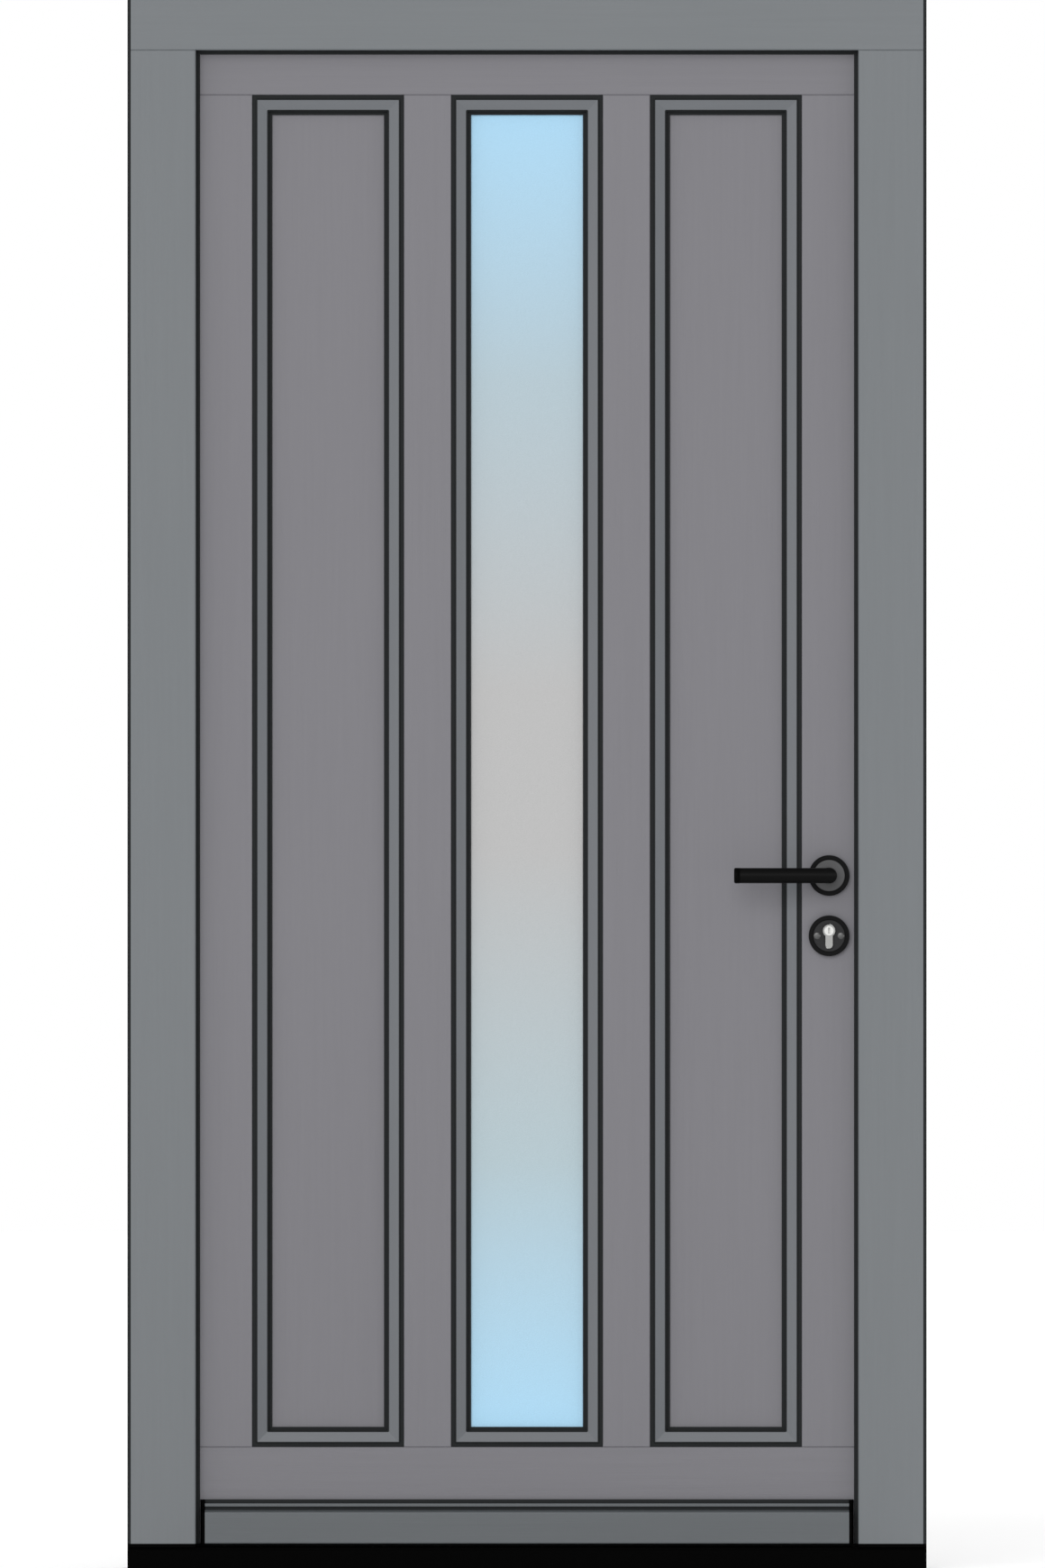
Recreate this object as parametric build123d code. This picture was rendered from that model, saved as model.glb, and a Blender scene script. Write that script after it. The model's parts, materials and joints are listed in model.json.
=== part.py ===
import os

from build123d import *

# Timber entrance door in its frame: a grey leaf with two timber panels and one glazed field.
# Frame: +X to the lock side as seen from outdoors, +Y into the house, +Z up.
# The origin is the middle of the threshold's underside, half way through the frame's depth.

# Frame, in millimetres
frame_width = 1100.0
frame_height = 2161.0
frame_depth = 80.0
jamb_face = 94.0
head_face = 70.5
outer_lip = 20.0
rebate_width = 18.0
frame_arris = 2.5
joint_groove = 1.4
wall_seal_width = 4.5
wall_seal_depth = 16.0

# Threshold and the plastic feet that keep the jambs' end grain off it
threshold_height = 30.0
threshold_nose = 4.0
tread_groove_width = 3.0
tread_groove_depth = 1.5
tread_groove_pitch = 9.0
tread_groove_count = 4
floor_gap = 5.0

# Leaf
leaf_gap = 8.0
seal_gap = 5.0
overlay_thickness = 15.0
overlay_cover = 15.0
field_count = 3
stile_face = 77.5
muntin_face = 65.0
top_rail_face = 61.0
bottom_rail_height = 132.5
leaf_arris = 1.5
overlay_arris = 3.0

# Panels, glazing and the mouldings that hold them
infill_thickness = 44.0
infill_edge_gap = 5.0
gasket_thickness = 3.0
gasket_cover = 8.0
gasket_show = 5.5
moulding_width = 22.0
quirk_width = 5.5
quirk_depth = 6.0
quirk_seal_thickness = 3.0
moulding_sink = 1.5
moulding_fall = 3.5
moulding_arris = 1.2
outer_pane_thickness = 6.0
inner_pane_thickness = 4.0
spacer_width = 14.0

# Seals
seal_show = 5.5
seal_root = 10.0
seal_clearance = 0.5
seal_rounding = 1.5
overlay_seal_width = 8.0
overlay_seal_inset = 2.0
drop_seal_width = 14.0
drop_seal_height = 28.0
drop_seal_wall = 2.0
drop_lip_width = 8.0
drop_lip_clearance = 0.2

# Weather bar at the foot of the leaf
weather_face_height = 43.5
weather_bar_projection = 23.0
weather_shoulder_height = 2.5
weather_groove_height = 5.0
weather_groove_depth = 5.0
weather_groove_seal = 2.5
weather_strip_height = 4.0
weather_strip_projection = 11.0
weather_bead_height = 5.5
weather_bead_projection = 6.0
weather_bar_end_gap = 7.0
weather_bar_rounding = 2.0
drip_width = 5.0
drip_depth = 5.0
drip_inset = 6.0

# Lock furniture
lever_height = 954.5
lock_backset = 50.0
lever_radius = 10.5
lever_reach = 131.0
lever_stand_off = 52.0
lever_tip_bevel = 1.5
lever_socket_depth = 22.0
spindle_width = 8.0
spindle_bore_radius = 10.0
neck_clearance = 0.4
neck_end_gap = 3.0
rose_radius = 28.0
rose_height = 8.0
rose_rim = 5.5
rose_sink = 1.2
cylinder_drop = 76.0
cylinder_rose_drop = 83.0
cylinder_radius = 8.5
cylinder_stem_width = 10.0
cylinder_height = 33.0
cylinder_proud = 3.0
cylinder_clearance = 0.4
plug_radius = 6.5
plug_depth = 14.0
plug_clearance = 0.1
plug_proud = 0.8
keyway_width = 2.6
keyway_height = 8.6
keyway_depth = 10.0

# Lock plates in the leaf's edge and in the jamb
lock_set_back = 32.0
plate_width = 24.0
plate_thickness = 3.0
plate_clearance = 0.1
plate_length = 250.0
plate_rise = 70.0
bolt_thickness = 12.0
bolt_depth = 12.0
bolt_clearance = 0.5
latch_height = 34.0
latch_drop = -22.0
deadbolt_height = 42.0
deadbolt_drop = 92.0
keeper_margin = 4.0

# Hinges on the indoor side
hinge_end_distance = 214.0
barrel_radius = 10.0
barrel_length = 60.0
barrel_clear = 5.0
barrel_gap = 0.5
hinge_pin_radius = 5.0
hinge_pin_length = 45.0
hinge_pin_clearance = 0.1
anchor_radius = 4.0
anchor_flat_count = 8
anchor_pitch = 30.0
anchor_depth = 35.0
anchor_clearance = 0.1
anchor_end_gap = 1.0

# Wall fixings through the jambs
fixing_radius = 4.0
fixing_inset = 12.0
fixing_end_distance = 120.5
fixing_count = 4

# Levels and planes that follow from the sizes above
outdoor_y = -frame_depth / 2
indoor_y = frame_depth / 2
ledge_y = outdoor_y + outer_lip
leaf_out = ledge_y + seal_gap
overlay_y = indoor_y + seal_gap
leaf_in = overlay_y + overlay_thickness
leaf_mid = (leaf_out + leaf_in) / 2
infill_out = leaf_mid - infill_thickness / 2
infill_in = leaf_mid + infill_thickness / 2
moulding_depth = infill_out - gasket_thickness - leaf_out
opening_x = frame_width / 2 - jamb_face
rebate_x = opening_x + rebate_width
leaf_x = rebate_x - leaf_gap
overlay_x = rebate_x + overlay_cover
head_z = frame_height - head_face
rebate_z = head_z + rebate_width
leaf_top = rebate_z - leaf_gap
overlay_top = rebate_z + overlay_cover
leaf_bottom = threshold_height + floor_gap
field_bottom = leaf_bottom + bottom_rail_height
field_top = head_z - top_rail_face
field_height = field_top - field_bottom
field_mid = (field_bottom + field_top) / 2
field_width = (2 * (opening_x - stile_face) - (field_count - 1) * muntin_face) / field_count
field_pitch = field_width + muntin_face
field_centres = {"left": -field_pitch, "glass": 0.0, "right": field_pitch}
spindle_x = leaf_x - lock_backset
lock_y = leaf_out + lock_set_back
hinge_x = -(overlay_x + barrel_clear + barrel_radius)
hinge_y = overlay_y + overlay_thickness / 2
hinge_levels = (
    leaf_bottom + hinge_end_distance,
    (leaf_bottom + leaf_top) / 2,
    leaf_top - hinge_end_distance,
)
past = 2.0
plane_tolerance = 1e-6


def block(x, y, z):
    low, high = zip(sorted(x), sorted(y), sorted(z))
    size = [b - a for a, b in zip(low, high)]
    middle = [(a + b) / 2 for a, b in zip(low, high)]
    return Pos(*middle) * Box(*size)


def bar_along_x(outline, x0, x1):
    # outline is drawn in (y, z)
    face = Plane.YZ * make_face(outline)
    return Pos(x0, 0, 0) * extrude(face, amount=x1 - x0, dir=(1, 0, 0))


def rectangle_ring(field, margin_out, margin_in, y0, y1):
    # A flat ring round a field, between two distances from the field's edge
    rings = []
    for margin in (margin_out, margin_in):
        half = field_width / 2 - margin
        rings.append(
            block(
                (field - half, field + half),
                (y0, y1) if margin == margin_out else (y0 - past, y1 + past),
                (field_bottom + margin, field_top - margin),
            )
        )
    return rings[0] - rings[1]


def rod(start, end, radius):
    path = Line(start, end)
    return sweep(Plane(origin=path @ 0, z_dir=path % 0) * Circle(radius), path=path)


def stud(start, end, radius):
    # A hinge's threaded stud or its hole, with flats because all but its root lies inside the timber
    path = Line(start, end)
    section = Plane(origin=path @ 0, z_dir=path % 0) * RegularPolygon(radius, anchor_flat_count)
    return sweep(section, path=path)


def edges_on_plane_y(shape, y):
    return shape.edges().filter_by(lambda e: all(abs(v.Y - y) < plane_tolerance for v in e.vertices()))


def frame_carcase():
    foot = leaf_bottom
    outside = block((-frame_width / 2, frame_width / 2), (outdoor_y, indoor_y), (foot, frame_height))
    passage = block((-opening_x, opening_x), (outdoor_y - past, indoor_y + past), (foot - past, head_z))
    rebate = block((-rebate_x, rebate_x), (ledge_y, indoor_y + past), (foot - past, rebate_z))
    carcase = outside - passage - rebate
    for y in (outdoor_y, indoor_y):
        rim = edges_on_plane_y(carcase, y).filter_by(lambda e: e.center().Z > foot + past)
        carcase = fillet(rim, frame_arris)
    for side in (-1, 1):
        carcase -= wall_seal(side)
        for y, inner_x in ((outdoor_y, opening_x), (indoor_y, rebate_x)):
            carcase -= joint_groove_cut((side * inner_x, side * frame_width / 2), y, head_z)
    return carcase


def joint_groove_cut(x, y, z):
    # A small V along a joint between two members, cut by a square bar turned on its edge
    length = abs(x[1] - x[0])
    bar = Box(length, joint_groove, joint_groove)
    return Pos((x[0] + x[1]) / 2, y, z) * (Rot(45, 0, 0) * bar)


def wall_seal(side):
    edge = side * frame_width / 2
    return block(
        (edge - side * wall_seal_width, edge),
        (outdoor_y, outdoor_y + wall_seal_depth),
        (leaf_bottom, frame_height),
    )


def fixing_levels():
    low = fixing_end_distance
    step = (frame_height - 2 * low) / (fixing_count - 1)
    return [low + step * i for i in range(fixing_count)]


def fixing_holes(side):
    y = ledge_y + fixing_inset
    return [
        rod((side * (rebate_x - past), y, z), (side * (frame_width / 2 + past), y, z), fixing_radius)
        for z in fixing_levels()
    ]


def anchor_levels(level, half):
    middle = level + half * (barrel_gap / 2 + barrel_length / 2)
    return (middle - anchor_pitch / 2, middle + anchor_pitch / 2)


def frame_anchors(radius, depth):
    return [
        stud((hinge_x, hinge_y, z), (hinge_x, indoor_y - depth, z), radius)
        for level in hinge_levels
        for z in anchor_levels(level, -1)
    ]


def leaf_anchors(radius, depth):
    return [
        stud((hinge_x, hinge_y, z), (-overlay_x + depth, hinge_y, z), radius)
        for level in hinge_levels
        for z in anchor_levels(level, 1)
    ]


def plate_outline(clearance):
    middle = lever_height + plate_rise - plate_length / 2
    slot = SlotOverall(plate_length + 2 * clearance, plate_width + 2 * clearance, rotation=90)
    return Plane.YZ * (Pos(lock_y, middle) * slot)


def bolt_blocks(x0, x1, margin):
    blocks = []
    for drop, height in ((latch_drop, latch_height), (deadbolt_drop, deadbolt_height)):
        z = lever_height - drop
        half_y = bolt_thickness / 2 + margin
        half_z = height / 2 + margin
        blocks.append(block((x0, x1), (lock_y - half_y, lock_y + half_y), (z - half_z, z + half_z)))
    return blocks


def jambs_and_head():
    carcase = frame_carcase()
    wide = frame_width
    deep = frame_depth
    head = carcase & block((-wide, wide), (-deep, deep), (head_z, frame_height + past))
    hinge_jamb = carcase & block((-wide, 0), (-deep, deep), (0, head_z))
    lock_jamb = carcase & block((0, wide), (-deep, deep), (0, head_z))
    anchor_holes = frame_anchors(anchor_radius + anchor_clearance, anchor_depth + anchor_end_gap)
    for hole in fixing_holes(-1) + anchor_holes:
        hinge_jamb -= hole
    plate_pocket = extrude(plate_outline(plate_clearance), amount=plate_thickness + past, dir=(1, 0, 0))
    lock_jamb -= Pos(rebate_x - past, 0, 0) * plate_pocket
    keeps = bolt_blocks(rebate_x, rebate_x + plate_thickness + bolt_depth, keeper_margin)
    for hole in fixing_holes(1) + keeps:
        lock_jamb -= hole
    return {"frame_head": head, "hinge_jamb": hinge_jamb, "lock_jamb": lock_jamb}


def jamb_feet():
    feet = []
    for side in (-1, 1):
        front = (side * opening_x, side * frame_width / 2)
        back = (side * rebate_x, side * frame_width / 2)
        z = (threshold_height, leaf_bottom)
        feet.append(block(front, (outdoor_y, ledge_y), z) + block(back, (ledge_y, indoor_y), z))
    return feet


def threshold():
    outline = Polyline(
        (outdoor_y, 0),
        (indoor_y, 0),
        (indoor_y, threshold_height),
        (outdoor_y + threshold_nose, threshold_height),
        (outdoor_y, threshold_height - threshold_nose),
        close=True,
    )
    sill = bar_along_x(outline, -frame_width / 2, frame_width / 2)
    for i in range(tread_groove_count):
        y = leaf_out + (i + 1) * tread_groove_pitch
        sill -= block(
            (-opening_x, opening_x),
            (y - tread_groove_width / 2, y + tread_groove_width / 2),
            (threshold_height - tread_groove_depth, threshold_height + past),
        )
    return sill


def frame_seal():
    inner_x = opening_x - seal_show
    outer_x = opening_x + seal_root
    inner_z = head_z - seal_show
    outer_z = head_z + seal_root
    y = (ledge_y, leaf_out - seal_clearance)
    around = block((-outer_x, outer_x), y, (leaf_bottom, outer_z))
    within = block((-inner_x, inner_x), (y[0] - past, y[1] + past), (leaf_bottom - past, inner_z))
    seal = around - within
    inner_rim = seal.edges().filter_by(
        lambda e: abs(e.center().Y - ledge_y) < plane_tolerance
        and abs(e.center().X) < opening_x
        and e.center().Z > leaf_bottom + past
        and e.center().Z < head_z
    )
    return fillet(inner_rim, seal_rounding)


def strike_plate():
    plate = extrude(plate_outline(0), amount=plate_thickness, dir=(1, 0, 0))
    plate = Pos(rebate_x, 0, 0) * plate
    for hole in bolt_blocks(rebate_x - past, rebate_x + plate_thickness + past, bolt_clearance):
        plate -= hole
    return plate


def hinge_frame_halves():
    halves = []
    anchors = frame_anchors(anchor_radius, anchor_depth)
    for i, level in enumerate(hinge_levels):
        top = level - barrel_gap / 2
        bottom = top - barrel_length
        barrel = Pos(hinge_x, hinge_y, (top + bottom) / 2) * Cylinder(barrel_radius, barrel_length)
        pin_top = top + hinge_pin_length
        pin = rod((hinge_x, hinge_y, bottom + past), (hinge_x, hinge_y, pin_top), hinge_pin_radius)
        halves.append(barrel + pin + anchors[2 * i] + anchors[2 * i + 1])
    return halves


def hinge_leaf_halves():
    halves = []
    anchors = leaf_anchors(anchor_radius, anchor_depth)
    for i, level in enumerate(hinge_levels):
        bottom = level + barrel_gap / 2
        top = bottom + barrel_length
        barrel = Pos(hinge_x, hinge_y, (top + bottom) / 2) * Cylinder(barrel_radius, barrel_length)
        bore_top = level + hinge_pin_length + past
        bore = rod(
            (hinge_x, hinge_y, bottom - past),
            (hinge_x, hinge_y, bore_top),
            hinge_pin_radius + hinge_pin_clearance,
        )
        halves.append(barrel + anchors[2 * i] + anchors[2 * i + 1] - bore)
    return halves


def leaf_carcase():
    main = block((-leaf_x, leaf_x), (leaf_out, leaf_in), (leaf_bottom, leaf_top))
    overlay = block((-overlay_x, overlay_x), (overlay_y, leaf_in), (leaf_bottom, overlay_top))
    carcase = main + overlay
    for field in field_centres.values():
        carcase -= rectangle_hole(field)
    for y in (leaf_out, leaf_in):
        rim = edges_on_plane_y(carcase, y).filter_by(
            lambda e: abs(e.center().X) < leaf_x - past
            and leaf_bottom + past < e.center().Z < field_top + past
        )
        carcase = fillet(rim, leaf_arris)
    rim = edges_on_plane_y(carcase, leaf_in).filter_by(
        lambda e: abs(e.center().X) > leaf_x + past or e.center().Z > leaf_top + past
    )
    carcase = fillet(rim, overlay_arris)
    for y, reach in ((leaf_out, leaf_x), (leaf_in, overlay_x)):
        for z in (field_bottom, field_top):
            for x in joint_spans(reach):
                carcase -= joint_groove_cut(x, y, z)
    return carcase


def joint_spans(reach):
    # The x ranges where an upright meets a rail: two stiles and two muntins
    stile_x = field_pitch + field_width / 2
    muntin_near = field_width / 2
    muntin_far = field_pitch - field_width / 2
    return [
        (-reach, -stile_x),
        (-muntin_far, -muntin_near),
        (muntin_near, muntin_far),
        (stile_x, reach),
    ]


def rectangle_hole(field):
    half = field_width / 2
    return block((field - half, field + half), (leaf_out - past, leaf_in + past), (field_bottom, field_top))


def cylinder_outline(margin):
    # Drawn about the plug's centre, in (x, z)
    radius = cylinder_radius + margin
    stem_radius = cylinder_stem_width / 2 + margin
    stem_end = cylinder_height - cylinder_radius - cylinder_stem_width / 2
    stem = Pos(0, -stem_end / 2) * Rectangle(2 * stem_radius, stem_end)
    return Circle(radius) + stem + Pos(0, -stem_end) * Circle(stem_radius)


def cylinder_bar(margin, y0, y1):
    outline = Plane.XZ * cylinder_outline(margin)
    bar = extrude(outline, amount=y1 - y0, dir=(0, 1, 0))
    return Pos(spindle_x, y0, lever_height - cylinder_drop) * bar


def leaf_members():
    carcase = leaf_carcase()
    wide = frame_width
    y = (leaf_out - past, leaf_in + past)
    members = {
        "top_rail": carcase & block((-wide, wide), y, (field_top, frame_height)),
        "bottom_rail": carcase & block((-wide, wide), y, (0, field_bottom)),
    }
    uprights = ("hinge_stile", "left_muntin", "right_muntin", "lock_stile")
    for name, span in zip(uprights, joint_spans(wide)):
        members[name] = carcase & block(span, y, (field_bottom, field_top))
    for hole in leaf_anchors(anchor_radius + anchor_clearance, anchor_depth + anchor_end_gap):
        members["hinge_stile"] -= hole
    spindle_bore = rod((spindle_x, y[0], lever_height), (spindle_x, y[1], lever_height), spindle_bore_radius)
    plate_pocket = extrude(plate_outline(plate_clearance), amount=plate_thickness + past, dir=(1, 0, 0))
    plate_pocket = Pos(leaf_x - plate_thickness, 0, 0) * plate_pocket
    cuts = [spindle_bore, cylinder_bar(cylinder_clearance, *y), plate_pocket]
    for hole in cuts + bolt_blocks(leaf_x - plate_thickness - bolt_depth, leaf_x, bolt_clearance):
        members["lock_stile"] -= hole
    members["bottom_rail"] -= block(
        (-leaf_x - past, leaf_x + past),
        (leaf_mid - drop_seal_width / 2, leaf_mid + drop_seal_width / 2),
        (leaf_bottom - past, leaf_bottom + drop_seal_height),
    )
    return members


def moulding_strip(length, face_y, inward):
    # A mitred strip that stands at x = 0, widens to +X and is centred on z = 0
    def at(across, depth):
        return (across, face_y + inward * depth)

    toe_depth = moulding_sink + moulding_fall
    section = Polyline(
        at(moulding_width, moulding_depth),
        at(0, moulding_depth),
        at(0, quirk_depth),
        at(quirk_width, quirk_depth),
        at(quirk_width, moulding_sink + moulding_arris),
        at(quirk_width + moulding_arris, moulding_sink),
        at(moulding_width - moulding_arris, toe_depth),
        at(moulding_width, toe_depth + moulding_arris),
        close=True,
    )
    strip = Pos(0, 0, -length / 2) * extrude(make_face(section), amount=length, dir=(0, 0, 1))
    half = length / 2
    mitre = Polyline(
        (0, -half),
        (0, half),
        (moulding_width, half - moulding_width),
        (moulding_width, moulding_width - half),
        close=True,
    )
    wedge = extrude(Plane.XZ * make_face(mitre), amount=frame_width, both=True)
    return strip & wedge


def moulding_uprights(field, face_y, inward):
    strip = moulding_strip(field_height, face_y, inward)
    half = field_width / 2
    return [
        Pos(field - half, 0, field_mid) * strip,
        Pos(field + half, 0, field_mid) * (Rot(0, 180, 0) * strip),
    ]


def moulding_rails(field, face_y, inward):
    strip = moulding_strip(field_width, face_y, inward)
    return [
        Pos(field, 0, field_bottom) * (Rot(0, -90, 0) * strip),
        Pos(field, 0, field_top) * (Rot(0, 90, 0) * strip),
    ]


def panel_seals(face_y, inward):
    seals = []
    gasket_in = moulding_width + gasket_show
    for field in field_centres.values():
        quirk = [face_y + inward * (quirk_depth - quirk_seal_thickness), face_y + inward * quirk_depth]
        gasket = [face_y + inward * moulding_depth, face_y + inward * (moulding_depth + gasket_thickness)]
        seals.append(rectangle_ring(field, 0, quirk_width, *sorted(quirk)))
        seals.append(rectangle_ring(field, gasket_cover, gasket_in, *sorted(gasket)))
    return seals


def infill(field, y0, y1):
    half = field_width / 2 - infill_edge_gap
    z = (field_bottom + infill_edge_gap, field_top - infill_edge_gap)
    return block((field - half, field + half), (y0, y1), z)


def glazing():
    outer_back = infill_out + outer_pane_thickness
    inner_front = infill_in - inner_pane_thickness
    middle = (outer_back + inner_front) / 2
    middle_front = middle - inner_pane_thickness / 2
    middle_back = middle + inner_pane_thickness / 2
    spacer_in = infill_edge_gap + spacer_width
    spacers = [
        rectangle_ring(0, infill_edge_gap, spacer_in, outer_back, middle_front),
        rectangle_ring(0, infill_edge_gap, spacer_in, middle_back, inner_front),
    ]
    return {
        "outer_glass_pane": infill(0, infill_out, outer_back),
        "middle_glass_pane": infill(0, middle_front, middle_back),
        "inner_glass_pane": infill(0, inner_front, infill_in),
        "glass_spacers": spacers,
    }


def weather_bar():
    face_top = leaf_bottom + weather_face_height
    groove_bottom = face_top + weather_shoulder_height
    groove_top = groove_bottom + weather_groove_height
    top = groove_top + weather_strip_height
    front = leaf_out - weather_bar_projection
    strip = leaf_out - weather_strip_projection
    groove = strip + weather_groove_depth
    drip = front + drip_inset
    outline = Polyline(
        (leaf_out, leaf_bottom),
        (leaf_out, top),
        (strip, top),
        (strip, groove_top),
        (groove, groove_top),
        (groove, groove_bottom),
        (strip, groove_bottom),
        (front, face_top),
        (front, leaf_bottom),
        (drip, leaf_bottom),
        (drip, leaf_bottom + drip_depth),
        (drip + drip_width, leaf_bottom + drip_depth),
        (drip + drip_width, leaf_bottom),
        close=True,
    )
    half = opening_x - seal_show - weather_bar_end_gap
    bar = bar_along_x(outline, -half, half)
    nose = bar.edges().filter_by(Axis.X).filter_by(lambda e: abs(e.center().Y - front) < plane_tolerance)
    bead_y = (leaf_out - weather_bead_projection, leaf_out)
    bead = block((-half, half), bead_y, (top, top + weather_bead_height))
    infilling = block((-half, half), (groove - weather_groove_seal, groove), (groove_bottom, groove_top))
    return {"weather_bar": fillet(nose, weather_bar_rounding), "weather_bar_seals": [bead, infilling]}


def overlay_seal():
    inner = overlay_seal_inset
    outer = overlay_seal_inset + overlay_seal_width
    y = (indoor_y + seal_clearance, overlay_y)
    around = block((-rebate_x - outer, rebate_x + outer), y, (leaf_bottom, rebate_z + outer))
    within = block(
        (-rebate_x - inner, rebate_x + inner),
        (y[0] - past, y[1] + past),
        (leaf_bottom - past, rebate_z + inner),
    )
    return around - within


def drop_seal():
    half_out = drop_seal_width / 2
    half_in = half_out - drop_seal_wall
    half_lip = drop_lip_width / 2
    top = leaf_bottom + drop_seal_height
    x = (-leaf_x, leaf_x)
    channel = block(x, (leaf_mid - half_out, leaf_mid + half_out), (leaf_bottom, top))
    channel -= block(
        (-leaf_x - past, leaf_x + past),
        (leaf_mid - half_in, leaf_mid + half_in),
        (leaf_bottom - past, top - drop_seal_wall),
    )
    lip_z = (threshold_height + drop_lip_clearance, top - drop_seal_wall)
    lip = block(x, (leaf_mid - half_lip, leaf_mid + half_lip), lip_z)
    return {"drop_seal_channel": channel, "drop_seal_lip": lip}


def rose(hole_radius):
    # Turned about the Y axis, seated on y = 0 and standing out to -Y
    sunk = rose_height - rose_sink
    outline = Polyline(
        (hole_radius, 0),
        (rose_radius, 0),
        (rose_radius, -rose_height),
        (rose_radius - rose_rim, -rose_height),
        (rose_radius - rose_rim, -sunk),
        (hole_radius, -sunk),
        close=True,
    )
    return revolve(make_face(outline), axis=Axis.Y)


def on_both_faces(piece, x, z):
    return [
        Pos(x, leaf_out, z) * piece,
        Pos(x, leaf_in, z) * (Rot(0, 0, 180) * piece),
    ]


def lever_roses():
    return on_both_faces(rose(lever_radius + neck_clearance), spindle_x, lever_height)


def cylinder_roses():
    y = (leaf_out - rose_height - past, leaf_in + rose_height + past)
    hole = cylinder_bar(cylinder_clearance, *y)
    return [r - hole for r in on_both_faces(rose(0), spindle_x, lever_height - cylinder_rose_drop)]


def lock_cylinder():
    y0 = leaf_out - rose_height - cylinder_proud
    y1 = leaf_in + rose_height + cylinder_proud
    z = lever_height - cylinder_drop
    body = cylinder_bar(0, y0, y1)
    plugs = []
    for face, inward in ((y0, 1), (y1, -1)):
        bottom = face + inward * plug_depth
        front = face - inward * plug_proud
        bore_radius = plug_radius + plug_clearance
        body -= rod((spindle_x, face - inward * past, z), (spindle_x, bottom, z), bore_radius)
        plug = rod((spindle_x, front, z), (spindle_x, bottom, z), plug_radius)
        plug -= block(
            (spindle_x - keyway_width / 2, spindle_x + keyway_width / 2),
            (front - inward * past, front + inward * keyway_depth),
            (z - keyway_height / 2, z + keyway_height / 2),
        )
        plugs.append(plug)
    return {"lock_cylinder": body, "cylinder_plugs": plugs}


def lock_plates():
    forend = extrude(plate_outline(0), amount=plate_thickness, dir=(1, 0, 0))
    forend = Pos(leaf_x - plate_thickness, 0, 0) * forend
    for hole in bolt_blocks(leaf_x - plate_thickness - past, leaf_x + past, bolt_clearance):
        forend -= hole
    bolts = bolt_blocks(leaf_x - plate_thickness - bolt_depth, leaf_x, 0)
    return {"lock_forend": forend, "latch_and_bolt": bolts}


def lever(face_y, outward):
    neck_start = face_y + outward * neck_end_gap
    bar_y = face_y + outward * lever_stand_off
    path = Polyline(
        (spindle_x, neck_start, lever_height),
        (spindle_x, bar_y, lever_height),
        (spindle_x - lever_reach, bar_y, lever_height),
    )
    section = Plane(origin=path @ 0, z_dir=path % 0) * Circle(lever_radius)
    handle = sweep(section, path=path, transition=Transition.RIGHT)
    handle = chamfer(handle.edges().sort_by(Axis.X)[:1], lever_tip_bevel)
    half = spindle_width / 2
    socket_end = neck_start + outward * lever_socket_depth
    return handle - block(
        (spindle_x - half, spindle_x + half),
        (neck_start - outward * past, socket_end),
        (lever_height - half, lever_height + half),
    )


def spindle():
    reach = neck_end_gap + lever_socket_depth
    half = spindle_width / 2
    return block(
        (spindle_x - half, spindle_x + half),
        (leaf_out - reach, leaf_in + reach),
        (lever_height - half, lever_height + half),
    )


def all_nodes():
    nodes = {
        **jambs_and_head(),
        "threshold": threshold(),
        "jamb_feet": jamb_feet(),
        "frame_seal": frame_seal(),
        "jamb_wall_seals": [wall_seal(-1), wall_seal(1)],
        "strike_plate": strike_plate(),
        "hinge_frame_halves": hinge_frame_halves(),
        **leaf_members(),
        **glazing(),
        **weather_bar(),
        "overlay_seal": overlay_seal(),
        **drop_seal(),
        "outside_panel_seals": panel_seals(leaf_out, 1),
        "inside_panel_seals": panel_seals(leaf_in, -1),
        "lever_roses": lever_roses(),
        "cylinder_roses": cylinder_roses(),
        **lock_cylinder(),
        **lock_plates(),
        "hinge_leaf_halves": hinge_leaf_halves(),
        "outer_lever": lever(leaf_out, -1),
        "inner_lever": lever(leaf_in, 1),
        "spindle": spindle(),
    }
    inside_uprights = []
    inside_rails = []
    for name, field in field_centres.items():
        if name != "glass":
            nodes[f"{name}_panel"] = infill(field, infill_out, infill_in)
        nodes[f"{name}_moulding_uprights"] = moulding_uprights(field, leaf_out, 1)
        nodes[f"{name}_moulding_rails"] = moulding_rails(field, leaf_out, 1)
        inside_uprights += moulding_uprights(field, leaf_in, -1)
        inside_rails += moulding_rails(field, leaf_in, -1)
    nodes["inside_moulding_uprights"] = inside_uprights
    nodes["inside_moulding_rails"] = inside_rails
    return nodes


def main():
    os.makedirs("parts", exist_ok=True)
    for name, shape in all_nodes().items():
        solids = shape if isinstance(shape, list) else [shape]
        export_step(Compound(children=[s for piece in solids for s in piece.solids()]), f"parts/{name}.step")


main()
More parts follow.
